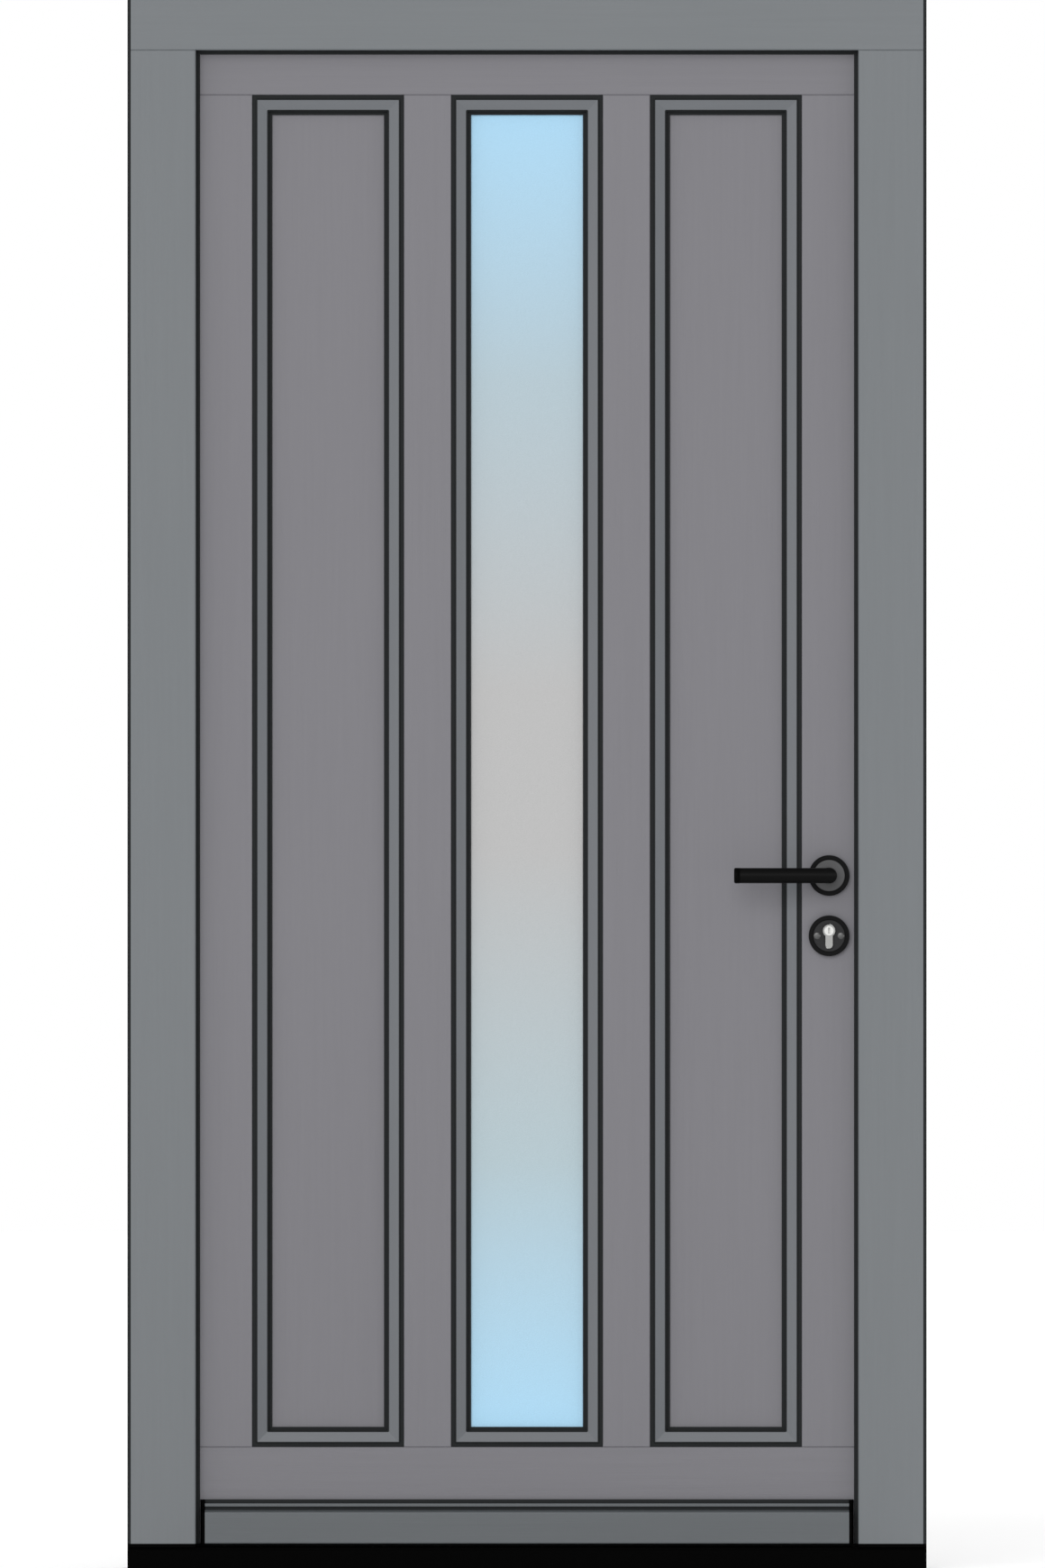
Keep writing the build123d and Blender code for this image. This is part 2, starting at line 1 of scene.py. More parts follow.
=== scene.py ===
import bpy
import json
import math
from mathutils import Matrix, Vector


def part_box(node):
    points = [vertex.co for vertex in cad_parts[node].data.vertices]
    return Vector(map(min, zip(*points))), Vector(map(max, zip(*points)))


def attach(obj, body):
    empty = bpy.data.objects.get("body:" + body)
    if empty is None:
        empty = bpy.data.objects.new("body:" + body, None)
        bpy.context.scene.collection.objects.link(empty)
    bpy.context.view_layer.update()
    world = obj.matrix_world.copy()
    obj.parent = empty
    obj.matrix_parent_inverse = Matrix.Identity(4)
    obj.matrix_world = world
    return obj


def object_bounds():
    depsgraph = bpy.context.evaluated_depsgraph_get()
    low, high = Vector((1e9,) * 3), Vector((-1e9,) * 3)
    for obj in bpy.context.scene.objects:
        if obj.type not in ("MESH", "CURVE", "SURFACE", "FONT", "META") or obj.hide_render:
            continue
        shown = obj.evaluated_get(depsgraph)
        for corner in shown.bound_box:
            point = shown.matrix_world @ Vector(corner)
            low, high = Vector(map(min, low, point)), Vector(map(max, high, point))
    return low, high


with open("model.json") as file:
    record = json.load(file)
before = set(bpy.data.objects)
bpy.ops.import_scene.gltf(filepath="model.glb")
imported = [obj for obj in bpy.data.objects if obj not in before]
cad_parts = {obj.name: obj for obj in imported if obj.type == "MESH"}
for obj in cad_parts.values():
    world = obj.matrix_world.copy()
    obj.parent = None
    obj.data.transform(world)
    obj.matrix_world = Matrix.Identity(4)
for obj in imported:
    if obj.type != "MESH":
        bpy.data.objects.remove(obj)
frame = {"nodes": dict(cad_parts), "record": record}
cadLow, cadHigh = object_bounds()
nodes = frame["nodes"]
print("door loaded,", len(nodes), "pieces from the workshop drawing")

millimetre = 0.001
white = (1.0, 1.0, 1.0, 1.0)


# small helpers
def shade(red, green, blue):  # a paint-card colour, 0 to 255, as the linear values that shaders take
    def linear(step):
        part = step / 255
        return part / 12.92 if part <= 0.04045 else ((part + 0.055) / 1.055) ** 2.4
    return (linear(red), linear(green), linear(blue), 1.0)


def scaled(colour, factor):
    return tuple(c * factor for c in colour[:3]) + (1.0,)


def addObject(name, data):
    made = bpy.data.objects.new(name, data)
    bpy.context.scene.collection.objects.link(made)
    return made


def addNode(tree, kind, inputs=None, **settings):
    node = tree.nodes.new(kind)
    for key, value in settings.items():
        setattr(node, key, value)
    for key, value in (inputs or {}).items():
        if isinstance(value, bpy.types.NodeSocket):
            tree.links.new(value, node.inputs[key])
        else:
            node.inputs[key].default_value = value
    return node


def jointPoint(name):
    joints = frame["record"]["behaviour"]["joints"]
    return next(joint["pos_m"] for joint in joints if joint["name"] == name)


# camera: square on to the outside face, far back, so that edges stay parallel
cameraSetup = {
    "imageWide": 1160,
    "imageTall": 1740,
    "doorLeft": 141.5,    # the frame's two outer edges, in picture pixels
    "doorRight": 1028.5,
    "distance": 40.0,
    "footHidden": 1.6 * millimetre,    # the picture ends just above the floor
    "sensor": 36.0,
}


def makeCamera(setup):
    perPixel = (cadHigh.x - cadLow.x) / (setup["doorRight"] - setup["doorLeft"])
    offset = (setup["doorLeft"] + setup["doorRight"] - setup["imageWide"]) / 2
    tall = setup["imageTall"] * perPixel
    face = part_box("hinge_jamb")[0].y
    data = bpy.data.cameras.new("frontCamera")
    data.sensor_width = setup["sensor"]
    data.lens = setup["sensor"] * setup["distance"] / tall
    camera = addObject("frontCamera", data)
    camera.location = (-offset * perPixel, face - setup["distance"], tall / 2 + setup["footHidden"])
    camera.rotation_euler = (math.radians(90), 0, 0)
    bpy.context.scene.camera = camera


makeCamera(cameraSetup)
print("camera set")


# light and floor
studio = {
    "sky": 0.62,            # even light from all round
    "paper": 1.0,           # white behind the door in the picture
    "suns": {               # strength, and turn in degrees
        "keySun": (1.35, (72, 0, -12)),     # soft, from the left in front, a little above
        "rearSun": (1.35, (58, 0, 160)),    # the same from behind, for the indoor face
    },
    "softness": 40,
    "floorSize": 60.0,
    "floorTone": (0.95, 0.95, 0.95, 1.0),
    "floorRough": 0.9,
    "floorGlow": 0.10,
}


def makeSky(setup):
    world = bpy.data.worlds.new("studioSky")
    world.use_nodes = True
    tree = world.node_tree
    glow = tree.nodes["Background"]                       # what lights the door
    paper = tree.nodes.new("ShaderNodeBackground")        # what stands behind it in the picture
    for sheet, strength in ((glow, setup["sky"]), (paper, setup["paper"])):
        sheet.inputs["Color"].default_value = white
        sheet.inputs["Strength"].default_value = strength
    seen = tree.nodes.new("ShaderNodeLightPath").outputs["Is Camera Ray"]
    either = addNode(tree, "ShaderNodeMixShader", {0: seen, 1: glow.outputs[0], 2: paper.outputs[0]})
    tree.links.new(either.outputs[0], tree.nodes["World Output"].inputs["Surface"])
    bpy.context.scene.world = world
    bpy.context.scene.view_settings.view_transform = "Standard"


def makeSuns(setup):
    for name, (strength, turn) in setup["suns"].items():
        sun = bpy.data.lights.new(name, "SUN")
        sun.energy = strength
        sun.angle = math.radians(setup["softness"])
        addObject(name, sun).rotation_euler = [math.radians(angle) for angle in turn]


def makeFloor(setup):
    half = setup["floorSize"] / 2
    corners = [(-half, -half, 0), (half, -half, 0), (half, half, 0), (-half, half, 0)]
    mesh = bpy.data.meshes.new("studioFloor")
    mesh.from_pydata(corners, [], [(0, 1, 2, 3)])
    paint = bpy.data.materials.new("floorPaint")
    paint.use_nodes = True
    shader = paint.node_tree.nodes["Principled BSDF"]
    shader.inputs["Base Color"].default_value = setup["floorTone"]
    shader.inputs["Roughness"].default_value = setup["floorRough"]
    shader.inputs["Emission Color"].default_value = white
    shader.inputs["Emission Strength"].default_value = setup["floorGlow"]
    mesh.materials.append(paint)
    addObject("studioFloor", mesh)


makeSky(studio)
makeSuns(studio)
makeFloor(studio)
print("studio lit")


# a bench to build finishes on
class NodeBench:
    even = (1, 1, 1)      # no stretch
    edgeSamples = 4

    def __init__(self, name):
        self.material = bpy.data.materials.new(name)
        self.material.use_nodes = True
        self.tree = self.material.node_tree
        self.shader = self.tree.nodes["Principled BSDF"]

    def add(self, kind, inputs=None, **settings):
        return addNode(self.tree, kind, inputs, **settings)

    def link(self, output, key):
        self.tree.links.new(output, self.shader.inputs[key])

    def fix(self, **values):
        for key, value in values.items():
            self.shader.inputs[key.replace("_", " ")].default_value = value

    def place(self):  # the piece's own coordinates
        return self.add("ShaderNodeTexCoord").outputs["Object"]

    def axes(self):
        return self.add("ShaderNodeSeparateXYZ", {0: self.place()}).outputs

    def noise(self, scale, size, detail):
        stretched = self.add("ShaderNodeMapping", {"Vector": self.place(), "Scale": scale}).outputs["Vector"]
        settings = {"Vector": stretched, "Scale": size, "Detail": detail}
        return self.add("ShaderNodeTexNoise", settings).outputs["Fac"]

    def spread(self, value, low, high, fromLow=0.3, fromHigh=0.7):  # most noise lies within this span
        return self.add(
            "ShaderNodeMapRange",
            {"Value": value, "From Min": fromLow, "From Max": fromHigh, "To Min": low, "To Max": high},
        ).outputs["Result"]

    def total(self, first, second):
        return self.add("ShaderNodeMath", {0: first, 1: second}, operation="ADD").outputs[0]

    def mixColour(self, factor, first, second):
        return self.add("ShaderNodeMix", {0: factor, 6: first, 7: second}, data_type="RGBA").outputs[2]

    def mottle(self, factor, colour, low, high):  # a colour that strays between two shares of itself
        return self.mixColour(factor, scaled(colour, low), scaled(colour, high))

    def bump(self, height, strength, distance, softEdge=0.0):
        node = self.add("ShaderNodeBump", {"Height": height, "Strength": strength, "Distance": distance})
        if softEdge:
            rounding = self.add("ShaderNodeBevel", {"Radius": softEdge}, samples=self.edgeSamples)
            self.tree.links.new(rounding.outputs["Normal"], node.inputs["Normal"])
        self.link(node.outputs["Normal"], "Normal")


def finish(nodeNames, material):
    for nodeName in nodeNames:
        mesh = nodes[nodeName].data
        mesh.materials.clear()
        mesh.materials.append(material)


# painted timber: satin paint with the grain showing through, along each member's length
paintLook = {
    "tones": {
        "frame": shade(106, 110, 113),
        "leaf": shade(112, 111, 116),
        # moulding and weather bar: the grey darker than the leaf's, as painted shade of their sloping faces
        "moulding": shade(100, 103, 107),
        "weatherBar": shade(88, 92, 95),
    },
    "grain": (170.0, 5.0),      # marks in a metre, across and along
    "grainDetail": 4.0,
    "pores": (700.0, 18.0),
    "poreDetail": 2.0,
    "cloudSize": 3.0,
    "cloudDetail": 2.0,
    "toneSwing": 0.025,
    "toneSpan": (0.7, 1.3),     # where grain and cloud together mostly lie
    "rough": (0.40, 0.52),
    "gloss": 0.35,
    "bumpDepth": 0.25 * millimetre,
    "bumpStrength": 0.35,
}


def paintedTimber(name, paint, along):
    look = paintLook
    bench = NodeBench(name)

    def stretched(across, lengthwise):
        return tuple(lengthwise if axis == along else across for axis in "XYZ")

    grain = bench.noise(stretched(*look["grain"]), 1.0, look["grainDetail"])
    pores = bench.noise(stretched(*look["pores"]), 1.0, look["poreDetail"])
    cloud = bench.noise(bench.even, look["cloudSize"], look["cloudDetail"])
    tone = bench.spread(bench.total(grain, cloud), 0.0, 1.0, *look["toneSpan"])
    swing = look["toneSwing"]
    bench.link(bench.mottle(tone, look["tones"][paint], 1 - swing, 1 + swing), "Base Color")
    bench.link(bench.spread(cloud, *look["rough"]), "Roughness")
    bench.bump(bench.total(grain, pores), look["bumpStrength"], look["bumpDepth"])
    bench.fix(Specular_IOR_Level=look["gloss"])
    return bench.material


leafUprights = ["hinge_stile", "lock_stile", "left_muntin", "right_muntin", "left_panel", "right_panel"]
mouldingSets = ("left_moulding", "glass_moulding", "right_moulding", "inside_moulding")
finish(["hinge_jamb", "lock_jamb"], paintedTimber("framePaintUpright", "frame", "Z"))
finish(["frame_head"], paintedTimber("framePaintAcross", "frame", "X"))
finish(leafUprights, paintedTimber("leafPaintUpright", "leaf", "Z"))
finish(["top_rail", "bottom_rail"], paintedTimber("leafPaintAcross", "leaf", "X"))
# mouldings and weather bar take the darker greys, painted shade
finish([s + "_uprights" for s in mouldingSets], paintedTimber("mouldingPaintedShadeUpright", "moulding", "Z"))
finish([s + "_rails" for s in mouldingSets], paintedTimber("mouldingPaintedShadeAcross", "moulding", "X"))
finish(["weather_bar"], paintedTimber("weatherBarPaintedShade", "weatherBar", "X"))
print("timber painted")


# rubber, plastics and powder coat: one tone with a fine grit, its depth in millimetres
skinLooks = {
    "sealRubber": {"tone": shade(33, 35, 36), "grit": 1400.0, "rough": 0.62, "gloss": 0.10, "depth": 0.15},
    "thresholdBlack": {"tone": shade(3, 3, 3), "grit": 600.0, "rough": 0.65, "gloss": 0.015, "depth": 0.3},
    "powderCoat": {"tone": shade(11, 11, 11), "grit": 2400.0, "rough": 0.42, "gloss": 0.05, "depth": 0.06},
    "capBlack": {"tone": shade(4, 4, 4), "grit": 2400.0, "rough": 0.50, "gloss": 0.03, "depth": 0.06},
    "spacerGrey": {"tone": shade(78, 78, 80), "grit": 900.0, "rough": 0.60, "gloss": 0.30, "depth": 0.1},
}
skinGrit = {"detail": 4.0, "tone": (0.75, 1.25), "roughSwing": 0.08, "bumpStrength": 0.3}


def grittySkin(name):
    look = skinLooks[name]
    bench = NodeBench(name)
    grit = bench.noise(bench.even, look["grit"], skinGrit["detail"])
    swing = skinGrit["roughSwing"]
    bench.link(bench.mottle(grit, look["tone"], *skinGrit["tone"]), "Base Color")
    bench.link(bench.spread(grit, look["rough"] - swing, look["rough"] + swing), "Roughness")
    bench.bump(grit, skinGrit["bumpStrength"], look["depth"] * millimetre)
    bench.fix(Specular_IOR_Level=look["gloss"])
    return bench.material


rubber = grittySkin("sealRubber")
thresholdBlack = grittySkin("thresholdBlack")
finish(
    [
        "frame_seal",
        "jamb_wall_seals",
        "overlay_seal",
        "outside_panel_seals",
        "inside_panel_seals",
        # weather_bar_seals: a bead in the joint above the bar, and a black strip in its groove that stands in
        # for the groove's shade
        "weather_bar_seals",
        "drop_seal_lip",
    ],
    rubber,
)
finish(["threshold", "jamb_feet"], thresholdBlack)
finish(["glass_spacers"], grittySkin("spacerGrey"))
finish(["outer_lever", "inner_lever"], grittySkin("powderCoat"))
print("rubber, plastic and powder coat finished")


# roses: black rim, with a grey face inside it that is a painted highlight, the sheen of the black rose
roseLook = {
    # the face greys are painted highlight on black roses
    "leverFaceSheen": shade(90, 90, 91),
    "cylinderFaceSheen": shade(46, 46, 47),
    "faceSwing": (0.85, 1.15),
    "rimTone": shade(10, 10, 11),
    "rim": 6.6 * millimetre,
    "blur": 0.4 * millimetre,
    "grit": 2400.0,
    "gritDetail": 3.0,
    "rough": (0.35, 0.5),
    "gloss": 0.06,
    "bumpStrength": 0.3,
    "bumpDepth": 0.05 * millimetre,
    "softEdge": 0.8 * millimetre,
}


def roseFinishAndSheen(name, node, sheenTone):
    look = roseLook
    low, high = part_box(node)
    centre = (low + high) / 2
    faceRadius = (high.x - low.x) / 2 - look["rim"]
    bench = NodeBench(name)
    axes = bench.axes()
    flat = bench.add("ShaderNodeCombineXYZ", {0: axes["X"], 2: axes["Z"]}).outputs[0]
    radius = bench.add(
        "ShaderNodeVectorMath", {0: flat, 1: (centre.x, 0, centre.z)}, operation="DISTANCE"
    ).outputs["Value"]
    rimShare = bench.spread(radius, 0.0, 1.0, faceRadius - look["blur"], faceRadius + look["blur"])
    grit = bench.noise(bench.even, look["grit"], look["gritDetail"])
    # the grey face is a painted sheen inside the black rim
    face = bench.mottle(grit, sheenTone, *look["faceSwing"])
    bench.link(bench.mixColour(rimShare, face, look["rimTone"]), "Base Color")
    bench.link(bench.spread(grit, *look["rough"]), "Roughness")
    bench.bump(grit, look["bumpStrength"], look["bumpDepth"], look["softEdge"])
    bench.fix(Specular_IOR_Level=look["gloss"])
    return bench.material


finish(["lever_roses"], roseFinishAndSheen("leverRoseFinishAndSheen", "lever_roses", roseLook["leverFaceSheen"]))
finish(["cylinder_roses"], roseFinishAndSheen("cylinderRoseFinishAndSheen", "cylinder_roses", roseLook["cylinderFaceSheen"]))
print("roses finished")


# bare metal: fine lines, drawn out along the axes with the smaller numbers
metalLooks = {
    "cylinderNickel": {"tone": shade(132, 132, 131), "lines": (900, 60, 900), "rough": 0.34},
    "plugNickel": {"tone": shade(180, 180, 178), "lines": (900, 60, 900), "rough": 0.34},
    "hingeNickel": {"tone": shade(196, 196, 194), "lines": (60, 60, 1500), "rough": 0.32},
    "plateSteel": {"tone": shade(176, 176, 174), "lines": (900, 900, 30), "rough": 0.36},
    "drawnAluminium": {"tone": shade(186, 188, 190), "lines": (30, 900, 900), "rough": 0.42},
    "darkSteel": {"tone": shade(84, 84, 84), "lines": (900, 900, 900), "rough": 0.40},
}
brushing = {
    "detail": 4.0,
    "tone": (0.88, 1.08),
    "smoother": 0.06,
    "rougher": 0.08,
    "bumpStrength": 0.2,
    "bumpDepth": 0.03 * millimetre,
    "hingeEdge": 1.0 * millimetre,
}


def brushedMetal(name, softEdge=0.0):
    look = metalLooks[name]
    bench = NodeBench(name)
    lines = bench.noise(look["lines"], 1.0, brushing["detail"])
    rough = bench.spread(lines, look["rough"] - brushing["smoother"], look["rough"] + brushing["rougher"])
    bench.link(bench.mottle(lines, look["tone"], *brushing["tone"]), "Base Color")
    bench.link(rough, "Roughness")
    bench.bump(lines, brushing["bumpStrength"], brushing["bumpDepth"], softEdge)
    bench.fix(Metallic=1.0)
    return bench.material


hingeNickel = brushedMetal("hingeNickel", brushing["hingeEdge"])
plateSteel = brushedMetal("plateSteel")
darkSteel = brushedMetal("darkSteel")
finish(["lock_cylinder"], brushedMetal("cylinderNickel"))
finish(["cylinder_plugs"], brushedMetal("plugNickel"))
finish(["hinge_frame_halves", "hinge_leaf_halves"], hingeNickel)
finish(["strike_plate", "lock_forend", "latch_and_bolt", "spindle"], plateSteel)
finish(["drop_seal_channel"], brushedMetal("drawnAluminium"))
print("metal finished")


# glass: satin outside pane with a painted sky reflection in its colour, sky blue at both ends fading to grey
# in the middle
satinLook = {
    "tones": {
        # painted reflection tones, a little darker at the top to offset the brighter light there
        0.01: shade(175, 222, 249),    # share of the pane's height, and the tone there
        0.21: shade(178, 197, 204),
        0.44: shade(184, 184, 184),
        0.56: shade(184, 184, 184),
        0.79: shade(175, 194, 203),
        0.99: shade(167, 213, 240),
    },
    "frost": 1800.0,
    "frostDetail": 3.0,
    "rough": (0.22, 0.34),
    "bumpStrength": 0.08,
    "bumpDepth": 0.02 * millimetre,
    "clearness": 0.15,
    "gloss": 0.3,
}
clearLook = {
    "tone": (0.90, 0.95, 0.94, 1.0),
    "cover": 0.16,
    "wave": 6.0,
    "waveDetail": 1.0,
    "rough": (0.0, 0.03),
}
glassIndex = 1.5


def satinGlassPaintedReflection(look):
    low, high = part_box("outer_glass_pane")
    bench = NodeBench("satinGlassPaintedReflection")
    share = bench.spread(bench.axes()["Z"], 0.0, 1.0, low.z, high.z)
    # the ramp paints the sky reflection up the pane's height
    ramp = bench.add("ShaderNodeValToRGB", {"Fac": share})
    stops = ramp.color_ramp.elements
    stops.remove(stops[1])
    for place, (height, tone) in enumerate(look["tones"].items()):
        stop = stops[0] if place == 0 else stops.new(height)
        stop.position, stop.color = height, tone
    bench.link(ramp.outputs["Color"], "Base Color")
    frost = bench.noise(bench.even, look["frost"], look["frostDetail"])
    bench.link(bench.spread(frost, *look["rough"]), "Roughness")
    bench.bump(frost, look["bumpStrength"], look["bumpDepth"])
    bench.fix(Transmission_Weight=look["clearness"], IOR=glassIndex, Specular_IOR_Level=look["gloss"])
    return bench.material


def clearGlass(look):
    bench = NodeBench("clearGlass")
    wave = bench.noise(bench.even, look["wave"], look["waveDetail"])
    bench.link(bench.spread(wave, *look["rough"]), "Roughness")
    bench.fix(Base_Color=look["tone"], Alpha=look["cover"], IOR=glassIndex)
    return bench.material


finish(["outer_glass_pane"], satinGlassPaintedReflection(satinLook))
finish(["middle_glass_pane", "inner_glass_pane"], clearGlass(clearLook))
print("glass finished")


# pieces grown by geometry nodes: a mesh of points or edges goes in, a plain mesh comes out
def openTree(name, seedLabel, sizes, resultLabel):
    tree = bpy.data.node_groups.new(name, "GeometryNodeTree")
    tree.interface.new_socket(seedLabel, in_out="INPUT", socket_type="NodeSocketGeometry")
    for label, kind, start in sizes:
        tree.interface.new_socket(label, in_out="INPUT", socket_type=kind).default_value = start
    tree.interface.new_socket("Finish", in_out="INPUT", socket_type="NodeSocketMaterial")
    tree.interface.new_socket(resultLabel, in_out="OUTPUT", socket_type="NodeSocketGeometry")
    return tree, tree.nodes.new("NodeGroupInput").outputs


def closeTree(tree, shape, material):
    real = addNode(tree, "GeometryNodeRealizeInstances", {0: shape}).outputs[0]
    painted = addNode(tree, "GeometryNodeSetMaterial", {"Geometry": real, "Material": material}).outputs[0]
    tree.links.new(painted, tree.nodes.new("NodeGroupOutput").inputs[0])


def growPiece(name, seeds, tree, size, material, body):
    piece = addObject(name, seeds)
    modifier = piece.modifiers.new(tree.name, "NODES")
    modifier.node_group = tree
    given = {**size, "Finish": material}
    for item in tree.interface.items_tree:
        if item.in_out == "INPUT" and item.name in given:
            modifier[item.identifier] = given[item.name]
    grown = piece.evaluated_get(bpy.context.evaluated_depsgraph_get())
    mesh = bpy.data.meshes.new_from_object(grown)
    mesh.name = name
    mesh.materials.clear()      # the tree leaves an empty slot beside the finish
    mesh.materials.append(material)
    mesh.polygons.foreach_set("material_index", [0] * len(mesh.polygons))
    piece.modifiers.clear()
    piece.data = mesh
    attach(piece, body)


# rubber lips lap over both edges of every moulding, outdoors and indoors
sealLips = {
    "edges": (
        (6.1 * millimetre, 2.1 * millimetre),     # in from the field's edge, down from the leaf's face
        (21.4 * millimetre, 5.6 * millimetre),
    ),
    "size": {
        "Lip Radius": 1.2 * millimetre,
        "Corner Radius": 1.2 * millimetre,
        "Corner Steps": 4,
        "Lip Sides": 12,
    },
}


def lipTree():
    tree, given = openTree(
        "sealLips",
        "Paths",
        (
            ("Lip Radius", "NodeSocketFloat", 1.0 * millimetre),
            ("Corner Radius", "NodeSocketFloat", 3.0 * millimetre),
            ("Corner Steps", "NodeSocketInt", 4),
            ("Lip Sides", "NodeSocketInt", 8),
        ),
        "Lips",
    )
    path = addNode(tree, "GeometryNodeMeshToCurve", {"Mesh": given["Paths"]}).outputs["Curve"]
    path = addNode(
        tree,
        "GeometryNodeFilletCurve",
        {"Curve": path, "Count": given["Corner Steps"], "Radius": given["Corner Radius"]},
        mode="POLY",
    ).outputs["Curve"]
    ring = addNode(
        tree,
        "GeometryNodeCurvePrimitiveCircle",
        {"Resolution": given["Lip Sides"], "Radius": given["Lip Radius"]},
    ).outputs["Curve"]
    lip = addNode(tree, "GeometryNodeCurveToMesh", {"Curve": path, "Profile Curve": ring}).outputs["Mesh"]
    lip = addNode(tree, "GeometryNodeSetShadeSmooth", {"Geometry": lip}).outputs["Geometry"]
    closeTree(tree, lip, given["Finish"])
    return tree


def lipPaths(setup):
    points, sides = [], []
    leafLow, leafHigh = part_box("lock_stile")
    for field in ("left", "glass", "right"):
        low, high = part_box(field + "_moulding_uprights")
        for face, inwards in ((leafLow.y, 1), (leafHigh.y, -1)):
            for inset, depth in setup["edges"]:
                first = len(points)
                y = face + inwards * depth
                left, right = low.x + inset, high.x - inset
                foot, top = low.z + inset, high.z - inset
                points += [(left, y, foot), (right, y, foot), (right, y, top), (left, y, top)]
                sides += [(first + i, first + (i + 1) % 4) for i in range(4)]
    paths = bpy.data.meshes.new("lipPaths")
    paths.from_pydata(points, sides, [])
    return paths


growPiece("panel_seal_lips", lipPaths(sealLips), lipTree(), sealLips["size"], rubber, "leaf")
print("seal lips laid")


# screws: one tree makes a domed head with its drive and sets it on every point of a piece
headMesh = {"Segments": 28, "Rings": 12, "Radius": 1.0}


def screwTree():
    tree, given = openTree(
        "screwHeads",
        "Points",
        (
            ("Head Radius", "NodeSocketFloat", 4.0 * millimetre),
            ("Head Height", "NodeSocketFloat", 1.0 * millimetre),
            ("Sunk Depth", "NodeSocketFloat", 0.4 * millimetre),
            ("Slot Length", "NodeSocketFloat", 9.0 * millimetre),
            ("Slot Width", "NodeSocketFloat", 1.2 * millimetre),
            ("Slot Depth", "NodeSocketFloat", 0.8 * millimetre),
            ("Cross Drive", "NodeSocketBool", False),
            ("Hex Drive", "NodeSocketBool", False),
        ),
        "Screws",
    )

    def add(kind, inputs=None, **settings):
        return addNode(tree, kind, inputs, **settings)

    def times(value, factor):
        return add("ShaderNodeMath", {0: value, 1: factor}, operation="MULTIPLY").outputs[0]

    def vector(x, y, z):
        return add("ShaderNodeCombineXYZ", {0: x, 1: y, 2: z}).outputs[0]

    def shaped(geometry, **change):
        return add("GeometryNodeTransform", {"Geometry": geometry, **change}).outputs[0]

    def cutAway(geometry, tool):
        inputs = {0: geometry, 1: tool}
        return add("GeometryNodeMeshBoolean", inputs, operation="DIFFERENCE", solver="EXACT")

    # a flattened ball, cut off flat by a block below the sunk depth
    radius, height = given["Head Radius"], given["Head Height"]
    ball = add("GeometryNodeMeshUVSphere", headMesh).outputs["Mesh"]
    dome = shaped(ball, Scale=vector(radius, radius, height))
    wide = times(radius, 4.0)
    halfDown = times(radius, -2.0)
    block = add("GeometryNodeMeshCube", {"Size": vector(wide, wide, wide)}).outputs["Mesh"]
    drop = add("ShaderNodeMath", {0: halfDown, 1: given["Sunk Depth"]}, operation="SUBTRACT").outputs[0]
    cap = cutAway(dome, shaped(block, Translation=vector(0.0, 0.0, drop))).outputs["Mesh"]

    # the drive: a slot or a hexagon, and a second slot across it on cross heads
    cutTall = times(given["Slot Depth"], 2.0)      # half of it stands above the dome
    barSize = vector(given["Slot Length"], given["Slot Width"], cutTall)
    prismSize = {"Vertices": 6, "Radius": times(given["Slot Length"], 0.5), "Depth": cutTall}
    bar = add("GeometryNodeMeshCube", {"Size": barSize}).outputs["Mesh"]
    prism = add("GeometryNodeMeshCylinder", prismSize).outputs["Mesh"]
    atTop = vector(0.0, 0.0, height)
    slot = shaped(bar, Translation=atTop)
    across = shaped(bar, Translation=atTop, Rotation=(0, 0, math.radians(90)))
    hexagon = shaped(prism, Translation=atTop)
    first = add(
        "GeometryNodeSwitch",
        {"Switch": given["Hex Drive"], "False": slot, "True": hexagon},
        input_type="GEOMETRY",
    ).outputs[0]
    second = add(
        "GeometryNodeSwitch",
        {"Switch": given["Cross Drive"], "True": across},
        input_type="GEOMETRY",
    ).outputs[0]
    head = cutAway(cap, first)
    tree.links.new(second, head.inputs[1])

    # every head is turned to face the way its point says
    facing = add("GeometryNodeInputNamedAttribute", {"Name": "facing"}, data_type="FLOAT_VECTOR")
    outwards = facing.outputs["Attribute"]
    turned = add("FunctionNodeAlignRotationToVector", {"Vector": outwards}, axis="Z").outputs[0]
    placed = add(
        "GeometryNodeInstanceOnPoints",
        {"Points": given["Points"], "Instance": head.outputs["Mesh"], "Rotation": turned},
    ).outputs[0]
    closeTree(tree, placed, given["Finish"])
    return tree


headTree = screwTree()


def setScrews(name, places, size, material, body):
    places = list(places)
    seeds = bpy.data.meshes.new(name + "Points")
    seeds.from_pydata([spot for spot, direction in places], [], [])
    facing = seeds.attributes.new("facing", "FLOAT_VECTOR", "POINT")
    for item, (spot, direction) in zip(facing.data, places):
        item.vector = direction
    growPiece(name, seeds, headTree, size, material, body)


# two slotted screws on each cylinder rose, level with its centre
roseScrews = {
    "besideKeyhole": 16.4 * millimetre,
    "faceSunk": 1.2 * millimetre,
    "size": {
        "Head Radius": 5.0 * millimetre,
        "Head Height": 1.1 * millimetre,
        "Slot Width": 1.6 * millimetre,
        "Slot Length": 11.0 * millimetre,
    },
}


def roseScrewPlaces(setup):
    low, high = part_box("cylinder_roses")
    centre = (low + high) / 2
    for y, outwards in ((low.y + setup["faceSunk"], -1), (high.y - setup["faceSunk"], 1)):
        for side in (-1, 1):
            yield (centre.x + side * setup["besideKeyhole"], y, centre.z), (0, outwards, 0)


setScrews("rose_screws", roseScrewPlaces(roseScrews), roseScrews["size"], darkSteel, "leaf")

